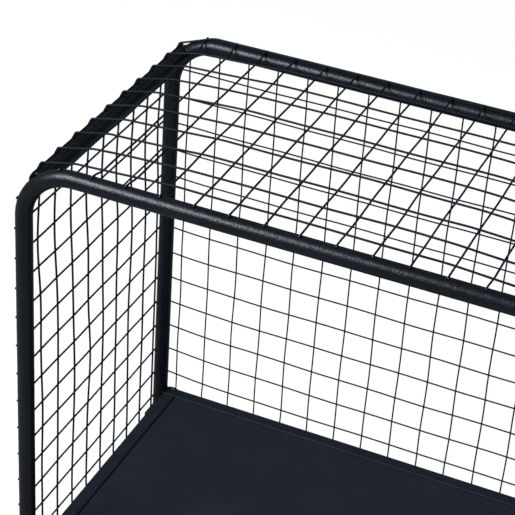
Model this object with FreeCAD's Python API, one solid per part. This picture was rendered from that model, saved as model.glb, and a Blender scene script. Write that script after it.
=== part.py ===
# Wire-cage folding side table: welded tube frame, mesh skin, drop-in shelf, two folding leg frames.
# Millimetres. +X to the right, +Y to the back, +Z up. Origin on the floor, under the middle.
# The front (-Y) is open. Each leg frame folds inward, under the shelf, about a bolt axis along Y.
import FreeCAD, Part
import math
import os

V = FreeCAD.Vector

# Frame tubes
tube_radius = 8.0
tube_wall = 1.2
post_spacing = 516.0        # left post axis to right post axis
frame_depth = 294.0         # front frame plane to back frame plane
top_axis = 587.0            # floor to the axes of the top tubes
post_end = 122.0            # floor to the lower ends of the posts
bend_radius = 50.0          # centre line of the two top bends
top_rail_proud = 2.0        # top side rails stand this far outside the bend's centre line
top_rail_setback = 3.0      # their ends stop this far short of the frame planes

# Bottom rails, square tube
rail_size = 14.0
rail_top = 153.5
rail_corner = 1.5
side_rail_x = 245.0         # middle of a bottom side rail

# Mesh wires
mesh_pitch = 31.75
hoop_pitch = 30.9
hoop_count = 10
rear_hoop_y = 148.0
hoop_end = 122.5
hoop_radius = 1.0
long_radius = 0.9           # wires that run front to back
back_radius = 0.75          # wires of the back panel
columns = 16                # mesh openings across the top
side_rows = 14
first_side_row = 33.9       # below the top tube axes
back_columns = 16
first_back_column = -243.7
back_rows = 14
first_back_row = 5.9        # below the top tube axes
back_wire_end = 141.0
back_wire_rise = 2.0        # uprights end this far above the top tube's axis
wire_overhang = 3.0         # past the axes of the tubes the long wires cross

# Shelf
shelf_gap = 1.2
shelf_below_rail = 0.5
shelf_sheet = 1.2
shelf_flange = 10.0
edge_fold = 1.0
stiffener_width = 24.0
stiffener_depth = 8.0
stiffener_x = 80.0
tab_width = 20.0
tab_reach = 12.0
tab_thick = 3.0
end_tab_columns = (-160.0, 0.0, 160.0)

# Hinge brackets
splay = 8.0                 # degrees that an open leg leans outward
bracket_plate = 2.5
bracket_gap = 18.0          # between the two cheeks
bracket_reach = 13.0        # each way from the post axis
cheek_inner_drop = 8.0      # below the pivot, on the inner side
cheek_outer_drop = 4.0
cheek_toe = 3.0             # inner end of the cheek's lower edge, from the pivot
cheek_margin = 2.0          # cheek below the stop
pivot_drop = 18.5           # post's lower end down to the pivot axis
stop_play = 0.3
stop_near = 18.0            # below the pivot, along the leg
stop_far = 30.0

# Pivot hardware
bolt_radius = 3.0
bolt_play = 0.05
thread_play = 0.02
head_radius = 6.0
head_height = 3.6
head_dome = 1.6
socket_radius = 2.0
socket_depth = 2.0
thread_past_nut = 1.5
nut_flats = 10.0
nut_height = 6.0
sleeve_radius = 5.0
sleeve_half = 8.3
washer_radius = 7.5
washer_thick = 0.5

# Leg frames
leg_above_pivot = 10.5
plug_thick = 1.5
plug_stem = 3.5
rung_radius = 6.0
rung_below_pivot = 62.0
foot_radius = 10.5
foot_cup = 22.0
foot_sole = 5.0
foot_rim = 1.5

half_width = post_spacing / 2
half_depth = frame_depth / 2
bend_x = half_width - bend_radius
bend_z = top_axis - bend_radius
rail_axis = rail_top - rail_size / 2
end_rail_y = half_depth + tube_radius - rail_size / 2
corner = math.sqrt(0.5)
lean = math.radians(splay)
sides = (("left", -1), ("right", 1))
ends = (("front", -1), ("back", 1))


def save(name, *solids):
    shape = solids[0] if len(solids) == 1 else Part.makeCompound(list(solids))
    shape.exportStep("parts/" + name + ".step")


def rod(start, end, radius):
    run = end - start
    return Part.makeCylinder(radius, run.Length, start, run)


def tube(start, end, radius):
    bore = rod(start, end, radius - tube_wall)
    return rod(start, end, radius).cut(bore)


def block(low, high):
    size = high - low
    return Part.makeBox(size.x, size.y, size.z, low)


def prism(points, depth):
    face = Part.Face(Part.makePolygon(points + points[:1]))
    return face.extrude(depth)


# ---- frame ----
def arch_path(y, half, top, bottom, bend):
    # An upside-down U in the plane of one frame: two legs, two round corners, one top.
    slant = bend * corner
    left_mid = V(-half + bend - slant, y, top - bend + slant)
    right_mid = V(half - bend + slant, y, top - bend + slant)
    points = [V(-half, y, bottom), V(-half, y, top - bend), V(-half + bend, y, top)]
    points += [V(half - bend, y, top), V(half, y, top - bend), V(half, y, bottom)]
    edges = [Part.LineSegment(points[0], points[1]).toShape()]
    edges.append(Part.Arc(points[1], left_mid, points[2]).toShape())
    edges.append(Part.LineSegment(points[2], points[3]).toShape())
    edges.append(Part.Arc(points[3], right_mid, points[4]).toShape())
    edges.append(Part.LineSegment(points[4], points[5]).toShape())
    return Part.Wire(edges)


def arch(y, half, top, bottom, bend, radius):
    path = arch_path(y, half, top, bottom, bend)
    circle = Part.Circle(V(-half, y, bottom), V(0, 0, 1), radius).toShape()
    return path.makePipeShell([Part.Wire([circle])], True, False)


def frame_run(y, radius):
    # One bent tube, kept as posts, bends and top end to end, so that each stays a simple solid.
    top = rod(V(-bend_x, y, top_axis), V(bend_x, y, top_axis), radius)
    solids = [top]
    for side in (-1, 1):
        shoulder = V(side * half_width, y, bend_z)
        solids.append(rod(V(side * half_width, y, post_end), shoulder, radius))
        disc = Part.Face(Part.Wire(Part.Circle(shoulder, V(0, 0, 1), radius).toShape()))
        solids.append(disc.revolve(V(side * bend_x, y, bend_z), V(0, -side, 0), 90))
    return solids


def end_frame(y):
    bores = frame_run(y, tube_radius - tube_wall)
    return [outer.cut(bore) for outer, bore in zip(frame_run(y, tube_radius), bores)]


def top_side_rail(side):
    # Joins the two frames at the middle of their bends, and stands a little proud of them.
    reach = (bend_radius + top_rail_proud) * corner
    x = side * (bend_x + reach)
    z = bend_z + reach
    end = half_depth - top_rail_setback
    rail = tube(V(x, -end, z), V(x, end, z), tube_radius)
    return rail.cut(frame_run(-half_depth, tube_radius) + frame_run(half_depth, tube_radius))


def square_tube(middle, half_length, along):
    # Runs along X or Y, its long corners rounded.
    across = V(1, 1, 1) - along
    outer_reach = along * half_length + across * (rail_size / 2)
    inner_reach = along * half_length + across * (rail_size / 2 - tube_wall)
    outer = block(middle - outer_reach, middle + outer_reach)
    long_edges = [edge for edge in outer.Edges if edge.Length > 2 * rail_size]
    outer = outer.makeFillet(rail_corner, long_edges)
    return outer.cut(block(middle - inner_reach, middle + inner_reach))


def bottom_end_rail(end):
    # Runs from post to post, its ends shaped to them.
    rail = square_tube(V(0, end * end_rail_y, rail_axis), half_width, V(1, 0, 0))
    for side in (-1, 1):
        foot = V(side * half_width, end * half_depth, post_end)
        rail = rail.cut(rod(foot, foot + V(0, 0, 2 * (rail_top - post_end)), tube_radius))
    return rail


def bottom_side_rail(side):
    # Butts against the end rails.
    half_length = end_rail_y - rail_size / 2
    return square_tube(V(side * side_rail_x, 0, rail_axis), half_length, V(0, 1, 0))


# ---- mesh skin: long wires lie on the tubes, and the hoops lie on the long wires ----
long_level = tube_radius + long_radius
hoop_level = tube_radius + 2 * long_radius + hoop_radius
hoop_half = half_width + hoop_level
hoop_top = top_axis + hoop_level
# A hoop's corner is tight enough to clear the corner wire on the top side rail.
hoop_flat = bend_radius + hoop_level
hoop_bend = (hoop_flat / corner - hoop_flat - top_rail_proud) / (1 / corner - 1)
hoop_ring = hoop_bend - hoop_radius - long_radius


def tuck(position):
    # Long wires beside a hoop's corner sit this much further in than those on its straights.
    past = max(0.0, position)
    return hoop_ring - math.sqrt(hoop_ring ** 2 - past ** 2)


def hoops():
    wires = []
    for index in range(hoop_count):
        y = rear_hoop_y - index * hoop_pitch
        wires.append(arch(y, hoop_half, hoop_top, hoop_end, hoop_bend, hoop_radius))
    return wires


def long_wire(x, z):
    reach = half_depth + wire_overhang
    return rod(V(x, -reach, z), V(x, reach, z), long_radius)


def top_wires():
    wires = []
    for index in range(1, columns):
        x = (index - columns / 2) * mesh_pitch
        drop = tuck(abs(x) - (hoop_half - hoop_bend))
        wires.append(long_wire(x, top_axis + long_level - drop))
    return wires


def corner_wire(side):
    reach = (bend_radius + top_rail_proud + long_level) * corner
    return long_wire(side * (bend_x + reach), bend_z + reach)


def side_wires(side):
    wires = []
    for row in range(side_rows):
        z = top_axis - first_side_row - row * mesh_pitch
        inset = tuck(z - (hoop_top - hoop_bend))
        wires.append(long_wire(side * (half_width + long_level - inset), z))
    return wires


def bend_line(past):
    # How far out the bend's centre line still is, this far past the end of the straight.
    return math.sqrt(bend_radius ** 2 - max(0.0, past) ** 2)


def back_row_wires():
    # The last row lies on the bottom rail, to tie the mesh to it.
    y = half_depth + tube_radius + back_radius
    heights = [top_axis - first_back_row - row * mesh_pitch for row in range(back_rows)]
    heights.append(rail_axis)
    wires = []
    for z in heights:
        reach = bend_x + bend_line(z - bend_z) + wire_overhang
        wires.append(rod(V(-reach, y, z), V(reach, y, z), back_radius))
    return wires


def back_upright_wires():
    y = half_depth + tube_radius + 3 * back_radius
    wires = []
    for column in range(back_columns):
        x = first_back_column + column * mesh_pitch
        top = bend_z + bend_line(abs(x) - bend_x) + back_wire_rise
        wires.append(rod(V(x, y, back_wire_end), V(x, y, top), back_radius))
    return wires


# ---- shelf: a folded sheet that drops in between the bottom rails and rests on tabs ----
shelf_half_x = side_rail_x - rail_size / 2 - shelf_gap
shelf_half_y = end_rail_y - rail_size / 2 - shelf_gap
shelf_top = rail_top - shelf_below_rail
shelf_base = shelf_top - shelf_flange


def shelf_panel():
    outer = block(V(-shelf_half_x, -shelf_half_y, shelf_base), V(shelf_half_x, shelf_half_y, shelf_top))
    top_edges = [edge for edge in outer.Edges if edge.CenterOfMass.z > shelf_top - edge_fold / 2]
    outer = outer.makeFillet(edge_fold, top_edges)
    inner_x = shelf_half_x - shelf_sheet
    inner_y = shelf_half_y - shelf_sheet
    inner = block(V(-inner_x, -inner_y, shelf_base), V(inner_x, inner_y, shelf_top - shelf_sheet))
    return outer.cut(inner)


def shelf_stiffener(x):
    # An open channel spot-welded under the sheet, its web upward.
    high = shelf_top - shelf_sheet
    low = high - stiffener_depth
    reach = shelf_half_y - shelf_sheet
    half = stiffener_width / 2
    room = half - shelf_sheet
    outer = block(V(x - half, -reach, low), V(x + half, reach, high))
    return outer.cut(block(V(x - room, -reach, low), V(x + room, reach, high - shelf_sheet)))


def shelf_tabs():
    rail_x = side_rail_x - rail_size / 2
    rail_y = end_rail_y - rail_size / 2
    low = shelf_base - tab_thick
    half = tab_width / 2
    near_tab = block(V(-half, rail_y - tab_reach, low), V(half, rail_y, shelf_base))
    far_tab = block(V(-half, -rail_y, low), V(half, tab_reach - rail_y, shelf_base))
    tabs = []
    for x in end_tab_columns:
        tabs += [near_tab.translated(V(x, 0, 0)), far_tab.translated(V(x, 0, 0))]
    tabs.append(block(V(rail_x - tab_reach, -half, low), V(rail_x, half, shelf_base)))
    tabs.append(block(V(-rail_x, -half, low), V(tab_reach - rail_x, half, shelf_base)))
    return tabs


# ---- hinges and leg frames: drawn about the left pivot axis, and mirrored for the right ----
pivot_x = -half_width
pivot_height = post_end - pivot_drop


def along_leg(y, below, outward=0.0):
    # A point beside an open left leg: below the pivot along the leg, and outward from its axis.
    x = pivot_x - below * math.sin(lean) - outward * math.cos(lean)
    z = pivot_height - below * math.cos(lean) + outward * math.sin(lean)
    return V(x, y, z)


def pivot_point(y):
    return V(pivot_x, y, pivot_height)


def hinge_bracket(end):
    # A folded saddle under the post: two cheeks, a web, and a stop that the open leg leans on.
    y = end * half_depth
    half = bracket_gap / 2
    low_point = along_leg(y, stop_far, tube_radius + stop_play + bracket_plate)
    foot_z = low_point.z - cheek_margin
    outer_x = pivot_x - bracket_reach
    inner_x = pivot_x + bracket_reach
    outline = [(outer_x, post_end), (inner_x, post_end), (inner_x, pivot_height - cheek_inner_drop)]
    outline += [(pivot_x + cheek_toe, foot_z), (low_point.x, foot_z)]
    outline.append((outer_x, pivot_height - cheek_outer_drop))
    thick = V(0, bracket_plate, 0)
    near_cheek = prism([V(x, y - half - bracket_plate, z) for x, z in outline], thick)
    far_cheek = prism([V(x, y + half, z) for x, z in outline], thick)
    web = block(V(outer_x, y - half, post_end - bracket_plate), V(inner_x, y + half, post_end))
    gap = tube_radius + stop_play
    corners = ((stop_near, gap), (stop_far, gap), (stop_far, gap + bracket_plate), (stop_near, gap + bracket_plate))
    stop = prism([along_leg(y - half, below, out) for below, out in corners], V(0, bracket_gap, 0))
    bracket = near_cheek.fuse([far_cheek, web, stop]).removeSplitter()
    return bracket.cut(rod(pivot_point(y - bracket_gap), pivot_point(y + bracket_gap), bolt_radius + bolt_play))


def pivot_bolt(end):
    # A low domed head outside, and a shank that reaches just past the nut.
    reach = bracket_gap / 2 + bracket_plate
    face = pivot_point(end * (half_depth + reach))
    outward = V(0, end, 0)
    head = Part.makeCylinder(head_radius, head_height, face, outward)
    crown = [edge for edge in head.Edges if edge.BoundBox.YLength < 0.1]
    crown = [edge for edge in crown if abs(edge.CenterOfMass.y - face.y) > head_height / 2]
    head = head.makeFillet(head_dome, crown)
    socket = Part.makeCylinder(socket_radius, socket_depth, face + outward * (head_height - socket_depth), outward)
    tip = pivot_point(end * (half_depth - reach - nut_height - thread_past_nut))
    return head.cut(socket).fuse(rod(face, tip, bolt_radius)).removeSplitter()


def pivot_nut(end):
    # A hexagon with its corners turned off on the outer face.
    start = pivot_point(end * (half_depth - bracket_gap / 2 - bracket_plate))
    inward = V(0, -end, 0)
    corner_radius = nut_flats / math.sqrt(3)
    points = []
    for index in range(6):
        angle = math.radians(60 * index)
        points.append(start + V(corner_radius * math.cos(angle), 0, corner_radius * math.sin(angle)))
    cone = Part.makeCone(corner_radius + nut_height / 2, nut_flats / 2, nut_height, start, inward)
    bore = rod(start, start + inward * nut_height, bolt_radius + thread_play)
    return prism(points, inward * nut_height).common(cone).cut(bore)


def leg_tube(end):
    y = end * half_depth
    length = (pivot_height - foot_sole) / math.cos(lean)
    leg = tube(along_leg(y, -leg_above_pivot), along_leg(y, length), tube_radius)
    return leg.cut(rod(pivot_point(y - bracket_gap), pivot_point(y + bracket_gap), sleeve_radius))


def leg_plug(end):
    # A plastic stopper in the tube's upper end.
    y = end * half_depth
    mouth = along_leg(y, -leg_above_pivot)
    cap = rod(mouth, along_leg(y, -leg_above_pivot - plug_thick), tube_radius)
    stem = rod(along_leg(y, plug_stem - leg_above_pivot), mouth, tube_radius - tube_wall)
    return cap.fuse(stem).removeSplitter()


def pivot_sleeve(end):
    start = pivot_point(end * half_depth - sleeve_half)
    stop = pivot_point(end * half_depth + sleeve_half)
    return rod(start, stop, sleeve_radius).cut(rod(start, stop, bolt_radius + bolt_play))


def pivot_washer(end, face):
    start = pivot_point(end * half_depth + face * sleeve_half)
    stop = start + V(0, face * washer_thick, 0)
    return rod(start, stop, washer_radius).cut(rod(start, stop, bolt_radius + bolt_play))


def rung():
    bar = tube(along_leg(-half_depth, rung_below_pivot), along_leg(half_depth, rung_below_pivot), rung_radius)
    for y in (-half_depth, half_depth):
        leg = rod(along_leg(y, 0), along_leg(y, rung_below_pivot + 2 * tube_radius), tube_radius)
        bar = bar.cut(leg)
    return bar


def foot(end):
    # A plastic cup over the leg's lower end, cut level with the floor.
    y = end * half_depth
    length = pivot_height / math.cos(lean)
    leg_end = (pivot_height - foot_sole) / math.cos(lean)
    mouth = along_leg(y, length - foot_cup)
    cup = rod(mouth, along_leg(y, length + foot_sole), foot_radius)
    rims = [edge for edge in cup.Edges if edge.CenterOfMass.distanceToPoint(mouth) < foot_rim]
    cup = cup.makeFillet(foot_rim, rims[:1])
    room = block(mouth - V(2 * foot_cup, foot_cup, mouth.z), mouth + V(2 * foot_cup, foot_cup, foot_cup))
    return cup.common(room).cut(rod(mouth, along_leg(y, leg_end), tube_radius))


def save_side(side_name, name, *solids):
    if side_name == "right":
        solids = [solid.mirror(V(0, 0, 0), V(1, 0, 0)) for solid in solids]
    save(side_name + "_" + name, *solids)


def save_hinges_and_legs(side_name):
    save_side(side_name, "hinge_brackets", hinge_bracket(-1), hinge_bracket(1))
    save_side(side_name, "pivot_bolts", pivot_bolt(-1), pivot_bolt(1))
    save_side(side_name, "pivot_nuts", pivot_nut(-1), pivot_nut(1))
    save_side(side_name, "front_leg", leg_tube(-1))
    save_side(side_name, "back_leg", leg_tube(1))
    save_side(side_name, "rung", rung())
    save_side(side_name, "leg_plugs", leg_plug(-1), leg_plug(1))
    save_side(side_name, "pivot_sleeves", pivot_sleeve(-1), pivot_sleeve(1))
    washers = [pivot_washer(end, face) for end in (-1, 1) for face in (-1, 1)]
    save_side(side_name, "pivot_washers", *washers)
    save_side(side_name, "feet", foot(-1), foot(1))


def main():
    os.makedirs("parts", exist_ok=True)
    for end_name, end in ends:
        save(end_name + "_frame", *end_frame(end * half_depth))
        save(end_name + "_bottom_rail", bottom_end_rail(end))
    for side_name, side in sides:
        save(side_name + "_top_rail", top_side_rail(side))
        save(side_name + "_bottom_rail", bottom_side_rail(side))
        save(side_name + "_wires", corner_wire(side), *side_wires(side))
        save_hinges_and_legs(side_name)
    save("hoop_wires", *hoops())
    save("top_wires", *top_wires())
    save("back_row_wires", *back_row_wires())
    save("back_upright_wires", *back_upright_wires())
    save("shelf_panel", shelf_panel())
    save("shelf_stiffeners", shelf_stiffener(-stiffener_x), shelf_stiffener(stiffener_x))
    save("shelf_tabs", *shelf_tabs())


main()
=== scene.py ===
import math
import random

import bmesh
import bpy
from mathutils import Euler, Matrix, Vector


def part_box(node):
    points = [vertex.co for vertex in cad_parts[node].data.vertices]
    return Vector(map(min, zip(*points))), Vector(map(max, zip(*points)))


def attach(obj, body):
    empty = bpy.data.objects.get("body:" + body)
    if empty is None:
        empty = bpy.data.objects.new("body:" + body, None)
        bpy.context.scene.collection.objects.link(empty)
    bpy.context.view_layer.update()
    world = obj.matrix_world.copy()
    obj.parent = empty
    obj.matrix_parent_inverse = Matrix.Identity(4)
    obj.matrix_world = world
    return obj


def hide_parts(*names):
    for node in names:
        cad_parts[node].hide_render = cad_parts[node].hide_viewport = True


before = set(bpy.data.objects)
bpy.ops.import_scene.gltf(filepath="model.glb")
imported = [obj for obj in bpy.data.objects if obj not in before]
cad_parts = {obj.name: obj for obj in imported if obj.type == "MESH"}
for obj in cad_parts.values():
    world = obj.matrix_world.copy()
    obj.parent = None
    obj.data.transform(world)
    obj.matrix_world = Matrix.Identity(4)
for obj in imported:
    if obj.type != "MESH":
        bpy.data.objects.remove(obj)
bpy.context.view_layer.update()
mm = 0.001


# ---- measurements taken from the frame ----
frontLow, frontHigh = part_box("front_frame")
backLow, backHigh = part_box("back_frame")
tubeRadius = (frontHigh.y - frontLow.y) / 2
frontY = (frontHigh.y + frontLow.y) / 2
backY = (backHigh.y + backLow.y) / 2
halfWidth = frontHigh.x - tubeRadius
topAxis = frontHigh.z - tubeRadius
postEnd = frontLow.z
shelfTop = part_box("shelf_panel")[1].z
bendRadius = 50 * mm
bendX = halfWidth - bendRadius
bendZ = topAxis - bendRadius
railProud = 2 * mm


# ---- colour and node helpers ----
def linear(hexColour):
    # An sRGB hex colour as linear red, green, blue and alpha.
    channels = []
    for start in (1, 3, 5):
        value = int(hexColour[start:start + 2], 16) / 255
        channels.append(value / 12.92 if value <= 0.04045 else ((value + 0.055) / 1.055) ** 2.4)
    return (*channels, 1.0)


def addNode(tree, kind, links=None, **settings):
    # One node. Settings are its properties, or inputs by name; links feed its inputs.
    node = tree.nodes.new(kind)
    for name, value in settings.items():
        if hasattr(node, name):
            setattr(node, name, value)
        else:
            node.inputs[name.replace("_", " ")].default_value = value
    for name, source in (links or {}).items():
        key = int(name[1:]) if name.startswith("#") else name
        tree.links.new(source, node.inputs[key])
    return node


def newMaterial(name):
    material = bpy.data.materials.new(name)
    material.use_nodes = True
    tree = material.node_tree
    return material, tree, tree.nodes["Principled BSDF"]


def ramp(tree, source, low, high, lowColour, highColour):
    # A two-stop colour ramp between two shares of the source.
    node = addNode(tree, "ShaderNodeValToRGB", {"Fac": source})
    node.color_ramp.elements[0].position = low
    node.color_ramp.elements[0].color = lowColour
    node.color_ramp.elements[1].position = high
    node.color_ramp.elements[1].color = highColour
    return node.outputs["Color"]


# Powder coat: pigmented polyester sprayed dry and baked, so it melts to a satin skin with fine orange peel.
# The real peel is under a millimetre across; it is drawn at grainMm so that it shows.
powderCoat = {
    "tube": {"low": "#0A0C11", "high": "#0E1118", "roughness": (0.28, 0.38),
             "grainMm": 1.5, "peel": 0.60, "gloss": 0.25},
    "wire": {"low": "#0E1117", "high": "#141923", "roughness": (0.42, 0.55),
             "grainMm": 1.2, "peel": 0.0, "gloss": 0.10},
    "rail": {"low": "#151922", "high": "#1A1F29", "roughness": (0.50, 0.60),
             "grainMm": 1.3, "peel": 0.15, "gloss": 0.18},
    "shelf": {"low": "#191D25", "high": "#1E232C", "roughness": (0.42, 0.48),
              "grainMm": 0.8, "peel": 0.04, "gloss": 0.22},
}


def makePowderCoat(name, look):
    material, tree, shader = newMaterial(name)
    place = addNode(tree, "ShaderNodeTexCoord").outputs["Object"]
    cloud = addNode(tree, "ShaderNodeTexNoise", {"Vector": place}, Scale=1 / (60 * mm), Detail=3.0)
    grain = addNode(tree, "ShaderNodeTexNoise", {"Vector": place}, Scale=1 / (look["grainMm"] * mm), Detail=2.0)
    wave = addNode(tree, "ShaderNodeTexNoise", {"Vector": place}, Scale=1 / (6 * look["grainMm"] * mm), Detail=1.0)
    colour = ramp(tree, cloud.outputs["Fac"], 0.35, 0.65, linear(look["low"]), linear(look["high"]))
    tree.links.new(colour, shader.inputs["Base Color"])
    rough = addNode(tree, "ShaderNodeMapRange", {"Value": grain.outputs["Fac"]})
    rough.inputs["From Min"].default_value = 0.3
    rough.inputs["From Max"].default_value = 0.7
    rough.inputs["To Min"].default_value = look["roughness"][0]
    rough.inputs["To Max"].default_value = look["roughness"][1]
    tree.links.new(rough.outputs["Result"], shader.inputs["Roughness"])
    height = addNode(tree, "ShaderNodeMath", {"#0": grain.outputs["Fac"], "#1": wave.outputs["Fac"]}, operation="ADD")
    bump = addNode(tree, "ShaderNodeBump", {"Height": height.outputs[0]}, Strength=look["peel"], Distance=0.4 * mm)
    tree.links.new(bump.outputs["Normal"], shader.inputs["Normal"])
    shader.inputs["Specular IOR Level"].default_value = look["gloss"]
    return material


# Bright zinc plate on steel: electroplated, faintly blue, with a soft crystalline mottle.
zincPlate = {"low": "#8E9296", "high": "#B9BDC1", "roughness": (0.28, 0.42), "mottleMm": 1.6}


def makeBareMetal(name, look):
    material, tree, shader = newMaterial(name)
    place = addNode(tree, "ShaderNodeTexCoord").outputs["Object"]
    mottle = addNode(tree, "ShaderNodeTexVoronoi", {"Vector": place}, Scale=1 / (look["mottleMm"] * mm))
    colour = ramp(tree, mottle.outputs["Distance"], 0.1, 0.8, linear(look["low"]), linear(look["high"]))
    tree.links.new(colour, shader.inputs["Base Color"])
    rough = addNode(tree, "ShaderNodeMapRange", {"Value": mottle.outputs["Distance"]})
    rough.inputs["To Min"].default_value = look["roughness"][0]
    rough.inputs["To Max"].default_value = look["roughness"][1]
    tree.links.new(rough.outputs["Result"], shader.inputs["Roughness"])
    shader.inputs["Metallic"].default_value = 1.0
    return material


# Moulded black polyethylene: a spark-eroded mould leaves a fine matt texture, scuffed a little paler.
blackPlastic = {"low": "#141414", "high": "#222222", "roughness": (0.55, 0.72), "textureMm": 0.7}


def makePlastic():
    material, tree, shader = newMaterial("mouldedPolyethylene")
    place = addNode(tree, "ShaderNodeTexCoord").outputs["Object"]
    fineScale = 1 / (blackPlastic["textureMm"] * mm)
    fine = addNode(tree, "ShaderNodeTexNoise", {"Vector": place}, Scale=fineScale, Detail=2.0)
    scuff = addNode(tree, "ShaderNodeTexNoise", {"Vector": place}, Scale=1 / (14 * mm), Detail=4.0)
    colour = ramp(tree, scuff.outputs["Fac"], 0.45, 0.75, linear(blackPlastic["low"]), linear(blackPlastic["high"]))
    tree.links.new(colour, shader.inputs["Base Color"])
    rough = addNode(tree, "ShaderNodeMapRange", {"Value": scuff.outputs["Fac"]})
    rough.inputs["To Min"].default_value = blackPlastic["roughness"][0]
    rough.inputs["To Max"].default_value = blackPlastic["roughness"][1]
    tree.links.new(rough.outputs["Result"], shader.inputs["Roughness"])
    bump = addNode(tree, "ShaderNodeBump", {"Height": fine.outputs["Fac"]}, Strength=0.25, Distance=0.2 * mm)
    tree.links.new(bump.outputs["Normal"], shader.inputs["Normal"])
    shader.inputs["IOR"].default_value = 1.51
    return material


tubeCoat = makePowderCoat("satinPowderCoatTube", powderCoat["tube"])
railCoat = makePowderCoat("mattPowderCoatRail", powderCoat["rail"])
wireCoat = makePowderCoat("satinPowderCoatWire", powderCoat["wire"])
shelfCoat = makePowderCoat("smoothPowderCoatSheet", powderCoat["shelf"])
zinc = makeBareMetal("zincPlatedSteel", zincPlate)
plastic = makePlastic()
print("materials made")


# ---- helpers for pieces ----
def addPiece(name, mesh, body, material, slot, *replaced):
    mesh.materials.clear()
    mesh.materials.append(material)
    piece = bpy.data.objects.new(name, mesh)
    bpy.context.scene.collection.objects.link(piece)
    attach(piece, body)
    if replaced:
        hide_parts(*replaced)
    return piece


def finishBmesh(bm, name, smoothAngle=40):
    # Turns a bmesh into a mesh, smooth except over sharp edges.
    bmesh.ops.recalc_face_normals(bm, faces=bm.faces)
    mesh = bpy.data.meshes.new(name)
    bm.to_mesh(mesh)
    bm.free()
    mesh.shade_smooth()
    mesh.set_sharp_from_angle(angle=math.radians(smoothAngle))
    return mesh


def cleanCopy(node):
    # The CAD node's shape as one joined, smooth-shaded surface.
    bm = bmesh.new()
    bm.from_mesh(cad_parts[node].data)
    bmesh.ops.remove_doubles(bm, verts=bm.verts, dist=0.004 * mm)
    return finishBmesh(bm, node + "Shape", 35)


def dressNode(node, body, material, slot):
    return addPiece(node + "_piece", cleanCopy(node), body, material, slot, node)


def sweptMesh(name, runs, radius, closed=False, ripple=0.0):
    # A round section swept along each run of points. Ripple swells it at every third point, as a weld does.
    curve = bpy.data.curves.new(name, "CURVE")
    curve.dimensions = "3D"
    curve.bevel_depth = radius
    curve.bevel_resolution = 2
    curve.use_fill_caps = not closed
    for run in runs:
        spline = curve.splines.new("POLY")
        spline.points.add(len(run) - 1)
        spline.use_cyclic_u = closed
        for index, (target, point) in enumerate(zip(spline.points, run)):
            target.co = (*point, 1.0)
            target.radius = 1.0 + ripple * math.sin(2 * math.pi * index / 3)
    holder = bpy.data.objects.new(name, curve)
    bpy.context.scene.collection.objects.link(holder)
    bpy.context.view_layer.update()
    mesh = bpy.data.meshes.new_from_object(holder.evaluated_get(bpy.context.evaluated_depsgraph_get()))
    bpy.data.objects.remove(holder)
    mesh.shade_smooth()
    mesh.set_sharp_from_angle(angle=math.radians(50))
    return mesh


# ---- end frames: one bent tube each ----
tubeShape = {"segments": 40, "bendSteps": 18, "wall": 1.2 * mm, "boreShown": 30 * mm}


def pushRing(bm, edges, move):
    made = bmesh.ops.extrude_edge_only(bm, edges=edges)["geom"]
    bmesh.ops.translate(bm, vec=move, verts=[item for item in made if isinstance(item, bmesh.types.BMVert)])
    return [item for item in made if isinstance(item, bmesh.types.BMEdge)]


def turnRing(bm, edges, centre):
    # A quarter turn about the line through centre along Y.
    turned = bmesh.ops.spin(bm, geom=edges, cent=centre, axis=(0, 1, 0), angle=math.pi / 2,
                            steps=tubeShape["bendSteps"], use_duplicate=False)["geom_last"]
    return [item for item in turned if isinstance(item, bmesh.types.BMEdge)]


def openEnd(bm, edges, centre):
    # The cut wall and a length of the bore behind it.
    share = 1 - tubeShape["wall"] / tubeRadius
    inner = pushRing(bm, edges, (0, 0, 0))
    rim = list({vert for edge in inner for vert in edge.verts})
    bmesh.ops.scale(bm, vec=(share, share, 1), space=Matrix.Translation(-Vector(centre)), verts=rim)
    deep = pushRing(bm, inner, (0, 0, tubeShape["boreShown"]))
    bmesh.ops.edgeloop_fill(bm, edges=deep)


def bentTube(name, y):
    bm = bmesh.new()
    foot = (-halfWidth, y, postEnd)
    bmesh.ops.create_circle(bm, segments=tubeShape["segments"], radius=tubeRadius, matrix=Matrix.Translation(foot))
    first = bm.edges[:]
    ring = pushRing(bm, first, (0, 0, bendZ - postEnd))
    ring = turnRing(bm, ring, (-bendX, y, bendZ))
    ring = pushRing(bm, ring, (2 * bendX, 0, 0))
    ring = turnRing(bm, ring, (bendX, y, bendZ))
    last = pushRing(bm, ring, (0, 0, postEnd - bendZ))
    openEnd(bm, first, foot)
    openEnd(bm, last, (halfWidth, y, postEnd))
    return finishBmesh(bm, name)


addPiece("front_frame_piece", bentTube("frontFrame", frontY), "frame", tubeCoat, "frame_coat", "front_frame")
addPiece("back_frame_piece", bentTube("backFrame", backY), "frame", tubeCoat, "frame_coat", "back_frame")

for node in ("front_bottom_rail", "back_bottom_rail", "left_bottom_rail", "right_bottom_rail", "shelf_tabs"):
    dressNode(node, "frame", railCoat, "frame_coat")
for node in ("left_top_rail", "right_top_rail", "left_hinge_brackets", "right_hinge_brackets"):
    dressNode(node, "frame", tubeCoat, "frame_coat")
print("frame tubes made")


# ---- weld beads ----
beads = {"railRadius": 1.15 * mm, "squareRadius": 0.9 * mm, "points": 60, "ripple": 0.16,
         "hump": (7 * mm, 2.5 * mm, 2.6 * mm), "humpIn": 13 * mm}


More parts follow.
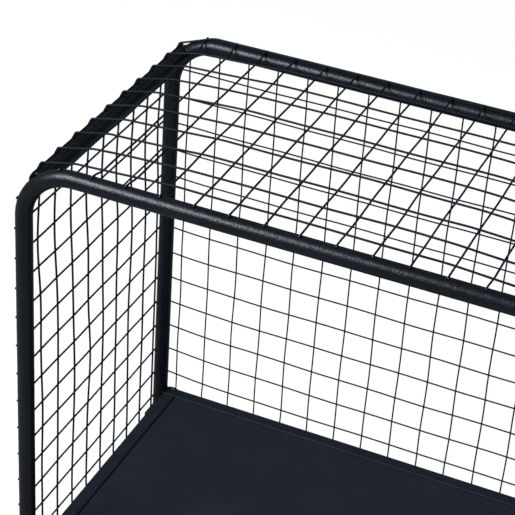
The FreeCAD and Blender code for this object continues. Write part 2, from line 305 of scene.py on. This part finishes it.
def topRailBead(side, endY):
    # Where a side top rail meets the bend: the rail's outline laid on the bend's surface.
    outward = Vector((side, 0, 1)).normalized()
    along = Vector((side, 0, -1)).normalized()
    run = []
    for index in range(beads["points"]):
        angle = 2 * math.pi * index / beads["points"]
        out = bendRadius + railProud + tubeRadius * math.cos(angle)
        sideways = tubeRadius * math.sin(angle)
        offset = math.hypot(out, sideways) - bendRadius
        depth = math.sqrt(max(tubeRadius ** 2 - offset ** 2, (2 * mm) ** 2))
        place = Vector((side * bendX, endY, bendZ)) + outward * out + along * sideways
        run.append(place - Vector((0, math.copysign(depth, endY), 0)))
    return run


def squareOutline(low, high):
    # Even points round a rectangle given by two opposite corners of two numbers each.
    width, height = high[0] - low[0], high[1] - low[1]
    total = 2 * (width + height)
    for index in range(beads["points"]):
        gone = total * index / beads["points"]
        if gone < width:
            yield low[0] + gone, low[1]
        elif gone < width + height:
            yield high[0], low[1] + gone - width
        elif gone < 2 * width + height:
            yield high[0] - (gone - width - height), high[1]
        else:
            yield low[0], high[1] - (gone - 2 * width - height)


def postBead(side, rail, postY):
    # Where an end rail meets a post.
    low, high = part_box(rail)
    run = []
    for y, z in squareOutline((low.y, low.z), (high.y, high.z)):
        reach = math.sqrt(max(tubeRadius ** 2 - (y - postY) ** 2, (1 * mm) ** 2))
        run.append(Vector((side * (halfWidth - reach), y, z)))
    return run


def sideRailBead(rail, endY):
    low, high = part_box(rail)
    return [Vector((x, endY, z)) for x, z in squareOutline((low.x, low.z), (high.x, high.z))]


def withHumps(mesh):
    # A lump of weld on the back rail beside each post.
    bm = bmesh.new()
    bm.from_mesh(mesh)
    for side in (-1, 1):
        place = Vector((side * (halfWidth - beads["humpIn"]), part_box("back_bottom_rail")[1].y - 2.5 * mm, shelfTop))
        shape = Matrix.Translation(place) @ Matrix.Diagonal((*beads["hump"], 1.0))
        bmesh.ops.create_icosphere(bm, subdivisions=3, radius=1.0, matrix=shape)
    return finishBmesh(bm, "bottomRailWelds", 60)


roundBeads = [topRailBead(side, endY) for side in (-1, 1) for endY in (frontY, backY)]
squareBeads = []
for side in (-1, 1):
    squareBeads += [postBead(side, "front_bottom_rail", frontY), postBead(side, "back_bottom_rail", backY)]
for rail in ("left_bottom_rail", "right_bottom_rail"):
    squareBeads += [sideRailBead(rail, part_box(rail)[0].y), sideRailBead(rail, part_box(rail)[1].y)]
mesh = sweptMesh("topRailWelds", roundBeads, beads["railRadius"], True, beads["ripple"])
addPiece("top_rail_welds", mesh, "frame", tubeCoat, "frame_coat")
mesh = sweptMesh("bottomRailWelds", squareBeads, beads["squareRadius"], True, beads["ripple"])
mesh = withHumps(mesh)
addPiece("bottom_rail_welds", mesh, "frame", tubeCoat, "frame_coat")
print("weld beads laid")


# ---- wires ----
wires = {
    "hoopRadius": 1.05 * mm,
    "longRadius": 0.98 * mm,
    "backRadius": 0.82 * mm,
    "pitch": 31.75 * mm,
    "hoopPitch": 30.9 * mm,
    "hoopCount": 10,
    "rearHoopY": 148 * mm,
    "hoopEnd": 122.5 * mm,
    "columns": 16,
    "sideRows": 14,
    "firstSideRow": 33.9 * mm,      # below the top tube axes
    "backColumns": 16,
    "firstBackColumn": -243.7 * mm,
    "backRows": 14,
    "firstBackRow": 5.9 * mm,
    "railRow": 146.5 * mm,          # the last back row, on the bottom rail
    "uprightEnd": 141 * mm,
    "topOverhang": 1.8 * mm,        # wire left past a tube's axis
    "sideOverhang": 0.6 * mm,
    "backOverhang": 3.0 * mm,
    "step": 8 * mm,                 # between a wire's points
    "bow": 6.0 * mm,                # how far the hoops' left sides are pushed forward under the bend
    "bowHeight": 485 * mm,
    "dentHeight": 290 * mm,
    "bowSpread": 57 * mm,
    "dents": (0, 0, -3, -1, 2, 5, 4, 2, 1, -3),     # millimetres backward of each hoop's left side, low down
    "rearForward": 2.0 * mm,        # the rear hoop is pulled down on the back tube
    "rearSink": 0.5 * mm,
    "rowReach": 50 * mm,
    "rowLift": 8.0 * mm,            # the back rows climb towards the left post, more so low down
    "wander": 0.55 * mm,            # how far a wire drifts sideways
    "weldBite": 0.12 * mm,          # crossing wires sink into each other where they are welded
    "topTip": (1.15 * mm, 1.3 * mm, 1.05 * mm),
    "sideTip": (1.0 * mm, 1.2 * mm, 1.1 * mm),
}
# A hoop is bent over the corner wire: a tight knuckle there, then nearly straight to the side and to the top.
# Each stop is how far out from the middle of the width and how high, in millimetres, with the rounding there.
hoopStops = {"side": (268.7, 545.2, 40), "knuckle": (250.5, 584.0, 4), "shoulder": (216.0, 592.0, 25),
             "flat": (120.0, 597.7, 300)}
rearShoulder = (214.0, 597.3, 25)       # the rear hoop rides on the back tube's bend
cornerWire = (248.95 * mm, 582.1 * mm)
seedOf = random.Random(7)


def drift(amount, *lengths):
    # A slow sideways wander along a wire, different for each.
    parts = [(amount * seedOf.uniform(0.5, 1.0), length, seedOf.uniform(0, 2 * math.pi)) for length in lengths]

    def at(distance):
        return sum(size * math.sin(2 * math.pi * distance / length + phase) for size, length, phase in parts)

    return at


def addStraight(path, end):
    start = path[-1]
    steps = max(1, round((end - start).length / wires["step"]))
    path += [start.lerp(end, step / steps) for step in range(1, steps + 1)]


def roundedPath(corners, radii):
    # Points along straight runs whose corners are rounded.
    path = [corners[0]]
    for before, point, after, radius in zip(corners, corners[1:], corners[2:], radii):
        back = (before - point).normalized()
        onward = (after - point).normalized()
        half = back.angle(onward) / 2
        start = point + back * radius / math.tan(half)
        end = point + onward * radius / math.tan(half)
        centre = point + (back + onward).normalized() * radius / math.sin(half)
        addStraight(path, start)
        turns = max(4, round((math.pi - 2 * half) / 0.12))
        for turn in range(1, turns + 1):
            path.append(centre + (start - centre).slerp(end - centre, turn / turns) * radius)
    addStraight(path, corners[-1])
    return path


longLevel = tubeRadius + wires["longRadius"]


def hoopPath(stops):
    # The middle line of a hoop in the XZ plane, left foot to right foot.
    left = [Vector((-out * mm, 0, up * mm)) for out, up, rounding in stops.values()]
    left.insert(0, Vector((left[0].x, 0, wires["hoopEnd"])))
    right = [Vector((-point.x, 0, point.z)) for point in reversed(left)]
    fillets = [rounding * mm for out, up, rounding in stops.values()]
    return roundedPath(left + right, fillets + fillets[::-1])


def onHoop(start, end, value, reading):
    # A hoop's height at a width (reading 0), or its width at a height (reading 1), between two stops.
    first, last = hoopStops[start], hoopStops[end]
    share = (value - first[reading] * mm) / ((last[reading] - first[reading]) * mm)
    return (first[1 - reading] + (last[1 - reading] - first[1 - reading]) * share) * mm


def sideBow(index, z):
    # How far back the left side of a hoop stands at this height.
    high = math.exp(-((z - wires["bowHeight"]) / wires["bowSpread"]) ** 2)
    low = math.exp(-((z - wires["dentHeight"]) / wires["bowSpread"]) ** 2)
    return wires["dents"][index] * mm * low - wires["bow"] * high


def hoopRuns():
    runs = []
    for index in range(wires["hoopCount"]):
        line = hoopPath(hoopStops if index else {**hoopStops, "shoulder": rearShoulder})
        wander = drift(wires["wander"], 0.22, 0.13, 0.61)
        place = wires["rearHoopY"] - index * wires["hoopPitch"]
        if index == 0:
            place -= wires["rearForward"]
        run = []
        for point in line:
            shift = wander(point.x + point.z) * min(1.0, (point.z - wires["hoopEnd"]) / 0.03)
            if point.x < -halfWidth:
                shift += sideBow(index, point.z)
            if index == 0:
                shift = min(0.0, shift)
                point = point - Vector((0, 0, wires["rearSink"]))
            run.append(point + Vector((0, place + shift, 0)))
        runs.append(run)
    return runs


def topSeat(x):
    # How far under the flat the hoops hold a top wire.
    out = abs(x)
    if out < hoopStops["flat"][0] * mm:
        return 0.0
    span = ("flat", "shoulder") if out < hoopStops["shoulder"][0] * mm else ("shoulder", "knuckle")
    return hoopStops["flat"][1] * mm - onHoop(*span, out, 0)


def sideSeat(z):
    # How far inside the upright part the hoops hold a side wire.
    if z < hoopStops["side"][1] * mm:
        return 0.0
    return hoopStops["side"][0] * mm - onHoop("side", "knuckle", z, 1) + 0.25 * mm


def bendSeat(past):
    # How far it sinks at the end frames, this far round the tube's bend.
    ring = bendRadius + longLevel
    return ring - math.sqrt(ring ** 2 - max(0.0, past) ** 2)


def longRun(place, inward, across, atFrame, atHoops, overhang):
    # A front-to-back wire over both end frames, sunk by its seats there and under the hoops between.
    wander = drift(wires["wander"] * 0.7, 0.19, 0.09)
    reach = -frontY + overhang
    steps = round(2 * reach / wires["step"])
    stops = [-reach + 2 * reach * step / steps for step in range(steps + 1)]
    stops = sorted(stops + [frontY, backY, frontY - overhang / 2, backY + overhang / 2])
    run = []
    for stop in stops:
        beyond = max(0.0, abs(stop) - backY)
        turn = beyond / longLevel
        y = math.copysign(min(abs(stop), backY) + longLevel * math.sin(turn), stop)
        middle = min(1.0, max(0.0, (backY - abs(stop)) / 0.022))
        middle = middle * middle * (3 - 2 * middle)
        sink = atFrame * (1 - middle) + atHoops * middle + longLevel * (1 - math.cos(turn))
        run.append(Vector((*place, 0)).xzy + Vector((0, y, 0)) + inward * sink + across * wander(stop) * middle)
    return run


def topRuns():
    runs = []
    for index in range(1, wires["columns"]):
        x = (index - wires["columns"] / 2) * wires["pitch"]
        place = (x, topAxis + longLevel)
        seats = (bendSeat(abs(x) - bendX), topSeat(x))
        runs.append(longRun(place, Vector((0, 0, -1)), Vector((1, 0, 0)), *seats, wires["topOverhang"]))
    return runs


def sideRuns(side):
    place = (side * cornerWire[0], cornerWire[1])
    inward = Vector((-side, 0, -1)).normalized()
    runs = [longRun(place, inward, Vector((side, 0, -1)) * 0.2, 0.0, 0.0, wires["sideOverhang"])]
    for row in range(wires["sideRows"]):
        z = topAxis - wires["firstSideRow"] - row * wires["pitch"]
        place = (side * (halfWidth + longLevel), z)
        seats = (bendSeat(z - bendZ), sideSeat(z))
        runs.append(longRun(place, Vector((-side, 0, 0)), Vector((0, 0, 1)), *seats, wires["sideOverhang"]))
    return runs


def straightRun(start, end, across, amount):
    wander = drift(amount, 0.31, 0.12)
    length = (end - start).length
    steps = round(length / wires["step"])
    run = []
    for step in range(steps + 1):
        distance = length * step / steps
        settle = min(1.0, distance / 0.02, (length - distance) / 0.02)
        run.append(start.lerp(end, step / steps) + across * wander(distance) * settle)
    return run


def bendLine(past):
    # How far out the bend's centre line still is, this far past the end of the straight.
    return math.sqrt(bendRadius ** 2 - max(0.0, past) ** 2)


def backRuns():
    rowY = backY + tubeRadius + wires["backRadius"]
    uprightY = backY + tubeRadius + 2.25 * mm - wires["weldBite"]
    heights = [topAxis - wires["firstBackRow"] - row * wires["pitch"] for row in range(wires["backRows"])]
    heights.append(wires["railRow"])
    rows = []
    for z in heights:
        reach = bendX + bendLine(z - bendZ) + wires["backOverhang"]
        row = straightRun(Vector((-reach, rowY, z)), Vector((reach, rowY, z)), Vector((0, 0, 1)), 0.35 * mm)
        if z < bendZ and z > shelfTop:
            lift = wires["rowLift"] * (topAxis - z) / topAxis
            row = [point + Vector((0, 0, lift * math.exp(-(point.x + halfWidth) / wires["rowReach"]))) for point in row]
        rows.append(row)
    uprights = []
    for column in range(wires["backColumns"]):
        x = wires["firstBackColumn"] + column * wires["pitch"]
        start = Vector((x, uprightY, wires["uprightEnd"]))
        end = Vector((x, uprightY, bendZ + bendLine(abs(x) - bendX) + 2 * mm))
        uprights.append(straightRun(start, end, Vector((1, 0, 0)), 0.45 * mm))
    return rows, uprights


def withTips(mesh, runs, size):
    # A small flattened nugget of weld over each cut end.
    bm = bmesh.new()
    bm.from_mesh(mesh)
    for run in runs:
        for tip in (run[0], run[-1]):
            shape = Matrix.Translation(tip) @ Matrix.Diagonal((*size, 1.0))
            bmesh.ops.create_icosphere(bm, subdivisions=2, radius=1.0, matrix=shape)
    return finishBmesh(bm, mesh.name + "Tips", 50)


def placeWires(node, runs, radius, tip=None):
    mesh = sweptMesh(node + "Wires", runs, radius)
    if tip:
        mesh = withTips(mesh, runs, tip)
    addPiece(node + "_piece", mesh, "frame", wireCoat, "mesh_wire", node)


# Painted highlight: bright bare-metal dots stand in for the small glints on the top wires' front ends. They are partly
# a real shine, since the metal still reflects the lamps, and partly painted light.
paintedGlintSpot = {"low": "#6E757D", "high": "#B4BBC2", "roughness": (0.22, 0.40), "mottleMm": 0.5, "radius": 0.42 * mm}


def paintedWeldGlints(runs):
    # One small bright dot at the front end of each wire, proud of its nugget: a painted glint.
    bm = bmesh.new()
    for run in runs:
        place = Matrix.Translation(run[0] + Vector((0.3 * mm, -0.5 * mm, 0.85 * mm)))
        bmesh.ops.create_icosphere(bm, subdivisions=2, radius=paintedGlintSpot["radius"], matrix=place)
    return finishBmesh(bm, "paintedWeldGlints")


placeWires("hoop_wires", hoopRuns(), wires["hoopRadius"])
topWireRuns = topRuns()
placeWires("top_wires", topWireRuns, wires["longRadius"], wires["topTip"])
# These dots are painted glints: bright metal put where the wire ends catch the light.
addPiece("painted_weld_glints", paintedWeldGlints(topWireRuns), "frame", makeBareMetal("bareSteelPaintedGlint", paintedGlintSpot), "mesh_wire")
placeWires("left_wires", sideRuns(-1), wires["longRadius"], wires["sideTip"])
placeWires("right_wires", sideRuns(1), wires["longRadius"], wires["sideTip"])
backRows, backUprights = backRuns()
placeWires("back_row_wires", backRows, wires["backRadius"])
placeWires("back_upright_wires", backUprights, wires["backRadius"])
print("wires swept")


# ---- shelf ----
for node in ("shelf_panel", "shelf_stiffeners"):
    dressNode(node, "shelf", shelfCoat, "shelf_coat")
print("shelf dressed")


# ---- hinges and leg frames ----
for side in ("left", "right"):
    body = side + "_leg_frame"
    for name in ("front_leg", "back_leg", "rung"):
        dressNode(side + "_" + name, body, tubeCoat, "frame_coat")
    for name in ("leg_plugs", "pivot_washers", "feet"):
        dressNode(side + "_" + name, body, plastic, "black_plastic")
    dressNode(side + "_pivot_sleeves", body, zinc, "zinc_hardware")
    for name in ("pivot_bolts", "pivot_nuts"):
        dressNode(side + "_" + name, "frame", zinc, "zinc_hardware")
print("leg frames dressed")


# ---- floor, light and camera ----
# The backdrop is bright only as seen; what it lends the table as light is "ambient".
room = {"floorSize": 14.0, "ambient": 0.17, "floorGlow": 0.90, "backdrop": 0.93}
keyLight = {"place": (-1.2, -1.3, 1.85), "target": (-0.25, -0.15, 0.55), "size": 1.0, "power": 84.0,
            "colour": (0.86, 0.93, 1.0)}
fillLight = {"place": (1.7, -1.3, 0.9), "target": (0, 0, 0.35), "size": 1.2, "power": 24.0,
             "colour": (0.72, 0.86, 1.0)}


def glowAsSeen(tree, ambient, bright):
    # Bright to the eye and dimmer as a source of light.
    path = addNode(tree, "ShaderNodeLightPath")
    span = addNode(tree, "ShaderNodeMapRange", {"Value": path.outputs["Is Camera Ray"]})
    span.inputs["To Min"].default_value = ambient
    span.inputs["To Max"].default_value = bright
    return span.outputs["Result"]


def makeFloor():
    bm = bmesh.new()
    bmesh.ops.create_grid(bm, x_segments=1, y_segments=1, size=room["floorSize"] / 2)
    mesh = finishBmesh(bm, "floor")
    material, tree, shader = newMaterial("matWhitePaper")
    place = addNode(tree, "ShaderNodeTexCoord").outputs["Object"]
    fibre = addNode(tree, "ShaderNodeTexNoise", {"Vector": place}, Scale=1 / (3 * mm), Detail=2.0)
    colour = ramp(tree, fibre.outputs["Fac"], 0.3, 0.7, linear("#6E6E6E"), linear("#767676"))
    tree.links.new(colour, shader.inputs["Base Color"])
    shader.inputs["Roughness"].default_value = 0.95
    shader.inputs["Specular IOR Level"].default_value = 0.0
    shader.inputs["Emission Color"].default_value = (1, 1, 1, 1)
    tree.links.new(glowAsSeen(tree, room["ambient"] / 2, room["floorGlow"]), shader.inputs["Emission Strength"])
    mesh.materials.append(material)
    floor = bpy.data.objects.new("floor", mesh)
    bpy.context.scene.collection.objects.link(floor)


def addLight(name, look):
    light = bpy.data.lights.new(name, "AREA")
    light.size = look["size"]
    light.energy = look["power"]
    light.color = look["colour"]
    lamp = bpy.data.objects.new(name, light)
    lamp.location = look["place"]
    lamp.rotation_euler = (Vector(look["target"]) - Vector(look["place"])).to_track_quat("-Z", "Y").to_euler()
    bpy.context.scene.collection.objects.link(lamp)


def makeSky():
    world = bpy.data.worlds.new("studio")
    bpy.context.scene.world = world
    world.use_nodes = True
    tree = world.node_tree
    background = tree.nodes["Background"]
    background.inputs["Color"].default_value = (1, 1, 1, 1)
    tree.links.new(glowAsSeen(tree, room["ambient"], room["backdrop"]), background.inputs["Strength"])


camera = {"place": (0.42247, -1.30249, 1.35825), "turnDegrees": (57.3306, -3.4672, 23.8629), "lens": 124.57}


def makeCamera():
    data = bpy.data.cameras.new("camera")
    data.lens = camera["lens"]
    data.sensor_width = 36.0
    holder = bpy.data.objects.new("camera", data)
    holder.location = camera["place"]
    holder.rotation_euler = Euler([math.radians(angle) for angle in camera["turnDegrees"]])
    bpy.context.scene.collection.objects.link(holder)
    bpy.context.scene.camera = holder


makeFloor()
makeSky()
addLight("keySoftbox", keyLight)
addLight("fillSoftbox", fillLight)
makeCamera()
bpy.context.scene.view_settings.view_transform = "Standard"
print("floor, light and camera set")
